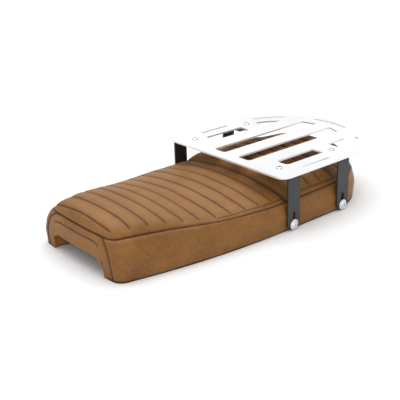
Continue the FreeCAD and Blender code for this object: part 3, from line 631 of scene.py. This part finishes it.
def half_width(y):
    """Half width of the top at a station, on the seam."""
    line = half[-1]
    return np.interp(y, line[:, 1], line[:, 0])


COLUMNS = 181
across_t = np.linspace(-1, 1, COLUMNS)
across = 0.72 * across_t + 0.28 * np.sin(across_t * math.pi / 2)


def stations(start, end, fine_at_start):
    """Stations along the seat every millimetre, closer together at the rounded end."""
    close = np.array([0, 0.08, 0.25, 0.5, 0.8]) * MM
    length = end - start
    even = np.linspace(1.2 * MM, length, int(length / MM))
    run = np.concatenate([close, even])
    return start + run if fine_at_start else (end - run)[::-1]


def top_points(spots):
    """The padding's top over a grid of stations, left seam to right seam."""
    widths = np.maximum(half_width(spots), 0.4 * MM)
    x = widths[:, None] * across[None, :]
    y = np.repeat(spots[:, None], COLUMNS, axis=1)
    heights = np.zeros_like(x)
    for row in range(x.shape[0]):
        edge = float(seam_height(spots[row]))
        for column in range(COLUMNS):
            hit = cast(padding, (x[row, column] * 0.995, y[row, column], ABOVE), (0, 0, -1))
            heights[row, column] = max(hit.z, edge) if hit else edge
    heights = (heights + heights[:, ::-1]) / 2
    heights[:, 0] = seam_height(spots)
    heights[:, -1] = seam_height(spots)
    heights = blur(blur(heights, 3.0, 0), 3.0, 1)
    return np.stack([x, y, heights], axis=2)


def sewn_top(points, ribs):
    """The top with its pillows, ribs, top stitching and tucked edge, with the painted shade in its grooves
    and how crowned it is.
    """
    normals = grid_normals(points)
    normals *= np.sign(normals[:, :, 2:].mean())
    to_seam = nearest_distances(points, seam_dense)
    y = points[:, :, 1]
    nearest = np.min([np.abs(y - rib) for rib in ribs], axis=0)
    reach = smooth_step((to_seam - RIB_END + 3 * MM) / (5 * MM))
    phase = np.clip(nearest / (RIB_PITCH / 2), 0, 1)
    pillow = np.sin(phase * math.pi / 2) ** 0.8 * smooth_step((to_seam - 3 * MM) / (22 * MM))
    sewn = groove(nearest, RIB_WIDTH) * reach
    behind_start = smooth_step((y - TOP_STITCH_START) / (15 * MM))
    top_stitch = groove(to_seam - TOP_STITCH_INSET, RIB_WIDTH) * behind_start
    rumple = np.array([[noise.noise(Vector(p) * 20) + 0.4 * noise.noise(Vector(p) * 60) for p in row]
                       for row in points])
    lift = PILLOW_HEIGHT * pillow - RIB_DEPTH * sewn - TOP_STITCH_DEPTH * top_stitch
    lift += 0.5 * MM * rumple - SEAM_DEPTH * groove(to_seam, SEAM_WIDTH)
    moved = points + normals * lift[:, :, None]
    moved[:, :, 2] -= TUCK_DEPTH * groove(y - CREASE_Y, TUCK_WIDTH)
    # Painted shade: darkens the leather in the ribs, the seam, along the top stitching and in the tuck
    crease = np.clip(np.maximum.reduce([groove(nearest, RIB_SHADE) * reach, groove(to_seam, SEAM_SHADE),
                                        0.5 * top_stitch, 0.9 * groove(y - CREASE_Y, TUCK_SHADE)]), 0, 1)
    return moved, crease, np.clip(pillow, 0, 1) ** 2


def rim_ids(count):
    """Indices of the points round the edge of a grid, in order."""
    ids = np.arange(count * COLUMNS).reshape(count, COLUMNS)
    return list(ids[:, -1]) + list(ids[-1, -2::-1]) + list(ids[-2::-1, 0]) + list(ids[0, 1:-1])


def cushion(name, spots, ribs, replaced):
    """A closed, crowned cushion with sewn ribs, a rolled seam and a tucked edge at the crease."""
    moved, crease, crest = sewn_top(top_points(spots), ribs)
    count = len(spots)
    rim = rim_ids(count)
    flat = moved.reshape(-1, 3)
    rim_points = flat[rim]
    middle = np.array([0, spots.mean(), 0])
    inward = middle - rim_points
    inward[:, 0] *= 3
    inward[:, 2] = 0
    inward /= np.linalg.norm(inward, axis=1, keepdims=True)
    first = rim_points + inward * 2 * MM - (0, 0, 2.5 * MM)
    second = rim_points + inward * 7 * MM
    second[:, 2] = CUSHION_UNDERSIDE
    all_points = np.concatenate([flat, first, second])
    faces = grid_faces(count, COLUMNS)
    n, total = len(rim), count * COLUMNS
    for i in range(n):
        j = (i + 1) % n
        faces.append((rim[i], rim[j], total + j, total + i))
        faces.append((total + i, total + j, total + n + j, total + n + i))
    faces.append(tuple(total + n + i for i in range(n)))
    # painted shade: the rim turning under and the underside are painted fully dark
    painted_shade_all = np.concatenate([crease.reshape(-1), np.ones(2 * n)])
    crest_all = np.concatenate([crest.reshape(-1), np.zeros(2 * n)])
    piece = mesh_object(name, all_points, faces, LEATHER, {"crease": painted_shade_all, "crest": crest_all})
    shape = bmesh.new()
    shape.from_mesh(piece.data)
    bmesh.ops.remove_doubles(shape, verts=shape.verts, dist=0.02 * MM)
    bmesh.ops.recalc_face_normals(shape, faces=shape.faces)
    shape.to_mesh(piece.data)
    shape.free()
    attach(piece, "seat")
    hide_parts(*replaced)
    return piece


nose_y = float(half[-1][0, 1])
tail_y = float(half[-1][-1, 1])
front_ribs = [FIRST_FRONT_RIB + RIB_PITCH * i for i in range(FRONT_RIBS)]
rear_ribs = [FIRST_REAR_RIB + RIB_PITCH * i for i in range(REAR_RIBS)]
front_cushion = cushion("front_cushion", stations(nose_y, CREASE_Y - 0.3 * MM, True), front_ribs,
                        ("front_cover", "front_foam"))
rear_cushion = cushion("rear_cushion", stations(CREASE_Y + 0.3 * MM, tail_y, False), rear_ribs,
                       ("rear_cover", "rear_foam"))


def tree_of(*pieces):
    """A search tree over the faces of some pieces, without their flat undersides."""
    points, faces = [], []
    for piece in pieces:
        start = len(points)
        points.extend(v.co.copy() for v in piece.data.vertices)
        faces.extend([start + i for i in p.vertices] for p in piece.data.polygons if len(p.vertices) < 5)
    return BVHTree.FromPolygons(points, faces)


top_tree = tree_of(front_cushion, rear_cushion)
nose_tree = tree_of(nose_piece, left_piece, right_piece)


# ---------------------------------------------------------------- stitching

def stitch_rings(line, outward):
    """Rings of points for stitches along a line: each stitch is a short bent roll of thread."""
    lengths = np.r_[0, np.cumsum(np.linalg.norm(np.diff(line, axis=0), axis=1))]
    points, faces = [], []
    spot = 0.0
    while spot + STITCH < lengths[-1]:
        shares = (0.0, 0.12, 0.5, 0.88, 1.0)
        sizes = (0.35, 0.85, 1.0, 0.85, 0.35)
        rises = (-0.7, 0.1, 0.5, 0.1, -0.7)
        centres = np.stack([[np.interp(spot + STITCH * s, lengths, line[:, i]) for i in range(3)]
                            for s in shares])
        ups = np.stack([[np.interp(spot + STITCH * s, lengths, outward[:, i]) for i in range(3)]
                        for s in shares])
        run = centres[-1] - centres[0]
        run /= max(np.linalg.norm(run), 1e-9)
        start = len(points)
        for centre, up, size, rise in zip(centres, ups, sizes, rises):
            side = np.cross(run, up)
            side /= max(np.linalg.norm(side), 1e-9)
            up = np.cross(side, run)
            for corner in range(6):
                angle = corner * math.pi / 3
                points.append(centre + THREAD_RADIUS * (up * rise + size * (math.cos(angle) * side
                                                                           + math.sin(angle) * up)))
        for ring_index in range(4):
            for corner in range(6):
                a = start + ring_index * 6 + corner
                b = start + ring_index * 6 + (corner + 1) % 6
                faces.append((a, b, b + 6, a + 6))
        faces.append(tuple(start + i for i in reversed(range(6))))
        faces.append(tuple(start + 24 + i for i in range(6)))
        spot += STITCH + STITCH_GAP
    return points, faces


def stitched(name, lines):
    """One object holding every stitch of a set of lines, each given as (points, outward directions)."""
    points, faces = [], []
    for line, outward in lines:
        new_points, new_faces = stitch_rings(np.asarray(line), np.asarray(outward))
        faces.extend(tuple(len(points) + i for i in face) for face in new_faces)
        points.extend(new_points)
    piece = mesh_object(name, points, faces, THREAD)
    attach(piece, "seat")
    return piece


def on_top(spots):
    """Points laid on the cushions from above, with their normals."""
    points, normals = [], []
    for x, y in spots:
        hit, normal, _, _ = top_tree.ray_cast(Vector((x, y, ABOVE)), Vector((0, 0, -1)))
        if hit:
            points.append(tuple(hit))
            normals.append(tuple(normal if normal.z > 0 else -normal))
    return np.array(points), np.array(normals)


def rib_lines(ribs):
    """The stitched line of each rib, from side to side."""
    lines = []
    for y in ribs:
        reach = float(half_width(y)) - RIB_END + 1 * MM
        if reach > 15 * MM:
            lines.append(on_top([(x, y) for x in np.arange(-reach, reach, 1 * MM)]))
    return lines


def seam_thread():
    """The thread sunk in the side seam, with the directions in which it stands proud."""
    away = seam_ring[:, :2] / np.maximum(np.linalg.norm(seam_ring[:, :2], axis=1, keepdims=True), 1e-9)
    ups = np.column_stack([away * 0.75, np.full(len(away), 0.66)])
    closed = np.vstack([seam_ring, seam_ring[:1]])
    ups = np.vstack([ups, ups[:1]])
    return [(closed - ups * SEAM_THREAD_DEPTH, ups)]


def top_stitch_lines():
    """The inner line of stitching beside the seam, from mid seat round the tail."""
    seam = half[-1]
    chosen = seam[seam[:, 1] > TOP_STITCH_START]
    run = np.gradient(chosen[:, :2], axis=0)
    run /= np.maximum(np.linalg.norm(run, axis=1, keepdims=True), 1e-9)
    inward = np.column_stack([-run[:, 1], run[:, 0]])
    inward *= np.sign((-(chosen[:, 0] * inward[:, 0]) + 1e-6)).mean() or 1
    inner = chosen[:, :2] + inward * TOP_STITCH_INSET * 0.78
    right = [(x, y) for x, y in inner if x > 0]
    whole = right + [(-x, y) for x, y in reversed(right)]
    before = [(x, y) for x, y in whole if y < CREASE_Y - 3 * MM and x > 0]
    behind = [(x, y) for x, y in whole if y > CREASE_Y + 3 * MM]
    return [on_top(before), on_top([(-x, y) for x, y in before]), on_top(behind)]


def nose_stitches(inset, reach):
    """Stitches along the nose seam, or along a line inset from it, out to a half width."""
    line = [p for p in nose_line(inset) if abs(p[0]) < reach]
    points, normals = [], []
    for x, _, z in line:
        hit, normal, _, _ = nose_tree.ray_cast(Vector((x, -OUTSIDE, z)), Vector((0, 1, 0)))
        if hit:
            points.append(tuple(hit))
            normals.append(tuple(normal if normal.y < 0 else -normal))
    return [(np.array(points), np.array(normals))]


stitched("front_rib_stitching", rib_lines(front_ribs))
stitched("rear_rib_stitching", rib_lines(rear_ribs))
stitched("seam_stitching", seam_thread() + top_stitch_lines())
stitched("nose_stitching", nose_stitches(0.0, 0.1) + nose_stitches(NOSE_BAND, SECOND_LINE_REACH))


# ---------------------------------------------------------------- rolled lip round the nose arch

def arch_lip():
    """A rolled edge of leather round the nose arch."""
    inner = ARCH_HALF_WIDTH - ARCH_CORNER
    path = [(ARCH_HALF_WIDTH, PAN_EDGE * 0.4, (1, 0)), (ARCH_HALF_WIDTH, 6 * MM, (1, 0))]
    for angle in np.radians(np.linspace(0, 90, 19)):
        out = (math.cos(angle), math.sin(angle))
        path.append((inner + ARCH_CORNER * out[0], ARCH_TOP - ARCH_CORNER + ARCH_CORNER * out[1], out))
    for x in np.arange(inner - 3 * MM, 0, -3 * MM):
        path.append((x, ARCH_TOP, (0, 1)))
    path += [(-x, z, (-out[0], out[1])) for x, z, out in reversed(path)]
    # the roll's section in millimetres: outwards from the arch, and back from the nose
    profile = ((3.2, 0.9), (2.0, -0.7), (0.8, -1.3), (-0.5, -0.6),
               (-1.1, 0.8), (-1.2, 3), (-0.8, 5), (0.2, 6))
    points = []
    for x, z, (nx, nz) in path:
        hit = cast(nose_tree, (x + nx * 3.5 * MM, -OUTSIDE, max(z + nz * 3.5 * MM, 7 * MM)), (0, 1, 0))
        y = hit.y if hit else points[-len(profile)][1]
        for out, back in profile:
            points.append((x + nx * out * MM, y + back * MM, z + nz * out * MM))
    faces = grid_faces(len(path), len(profile))
    piece = mesh_object("nose_lip", points, faces, LEATHER,
                        {"crease": np.zeros(len(points)), "crest": np.full(len(points), 0.6)})
    smooth = piece.modifiers.new("round", "SUBSURF")
    smooth.levels = 1
    smooth.render_levels = 1
    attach(piece, "seat")
    return piece


arch_lip()


# ---------------------------------------------------------------- finishes of the CAD nodes that stay

FINISHES = {
    "rack_plate": ALUMINIUM,
    "front_strap_left": POWDER, "front_strap_right": POWDER,
    "rear_strap_left": POWDER, "rear_strap_right": POWDER,
    "rack_bolts": BRIGHT, "side_bolts": BRIGHT, "side_washers": BRIGHT,
    "rack_nuts": ZINC, "side_inserts": ZINC, "mounting_studs": ZINC,
    "stud_plate_front": ZINC, "stud_plate_rear": ZINC, "cover_staples": ZINC,
    "backing_strip_left": ZINC, "backing_strip_right": ZINC,
    "seat_pan": PLASTIC, "edge_trim": RUBBER, "pan_buffers": RUBBER,
}
ROUNDED = {"rack_plate": 0.5 * MM, "front_strap_left": 0.4 * MM, "front_strap_right": 0.4 * MM,
           "rear_strap_left": 0.4 * MM, "rear_strap_right": 0.4 * MM, "edge_trim": 0.6 * MM}
for name, finish in FINISHES.items():
    node = nodes[name]
    node.data.materials.clear()
    node.data.materials.append(finish)
for name, radius in ROUNDED.items():
    bevel = nodes[name].modifiers.new("edge", "BEVEL")
    bevel.width = radius
    bevel.segments = 2
    bevel.limit_method = "ANGLE"
    bevel.angle_limit = math.radians(40)


# ---------------------------------------------------------------- floor, light and camera

def floor():
    """A plain pale floor just under the object."""
    material, tree, shader = new_material("pale_floor")
    specks = noise_node(tree, place(tree), 30, 2)
    tree.links.new(ramp(tree, specks, ((0.3, (0.93, 0.93, 0.93)), (0.7, (0.95, 0.95, 0.95)))),
                   shader.inputs["Base Color"])
    shader.inputs["Roughness"].default_value = 0.8
    mesh = bpy.data.meshes.new("floor")
    mesh.from_pydata([(-12, -12, 0), (12, -12, 0), (12, 12, 0), (-12, 12, 0)], [], [(0, 1, 2, 3)])
    mesh.materials.append(material)
    plane = link(bpy.data.objects.new("floor", mesh))
    plane.location.z = cad_low.z - 0.2 * MM


def soft_sun(name, direction, strength, softness):
    """A sun whose size in degrees softens its shadows."""
    data = bpy.data.lights.new(name, "SUN")
    data.energy = strength
    data.angle = math.radians(softness)
    lamp = link(bpy.data.objects.new(name, data))
    lamp.rotation_mode = "QUATERNION"
    lamp.rotation_quaternion = Vector(direction).to_track_quat("-Z", "Y")


floor()
world = bpy.data.worlds.new("studio")
bpy.context.scene.world = world
world.use_nodes = True
world.node_tree.nodes["Background"].inputs["Color"].default_value = (1, 1, 1, 1)
world.node_tree.nodes["Background"].inputs["Strength"].default_value = 0.62
soft_sun("overhead", (0.25, -0.15, -1.0), 1.85, 70)
soft_sun("front_fill", (-0.8, 0.9, -0.5), 0.5, 60)
bpy.context.scene.view_settings.view_transform = "Standard"

CAMERA_PLACE = (0.96275, -0.84756, 0.54991)
CAMERA_AIM = (-0.71009, 0.59015, -0.38405)
CAMERA_ROLL = -0.0313
camera_data = bpy.data.cameras.new("camera")
camera_data.lens = 73.0
camera_data.sensor_width = 36
camera_data.shift_y = 0.003
camera = link(bpy.data.objects.new("camera", camera_data))
camera.location = CAMERA_PLACE
camera.rotation_mode = "QUATERNION"
camera.rotation_quaternion = Vector(CAMERA_AIM).to_track_quat("-Z", "Y") @ Quaternion((0, 0, 1), CAMERA_ROLL)
bpy.context.scene.camera = camera
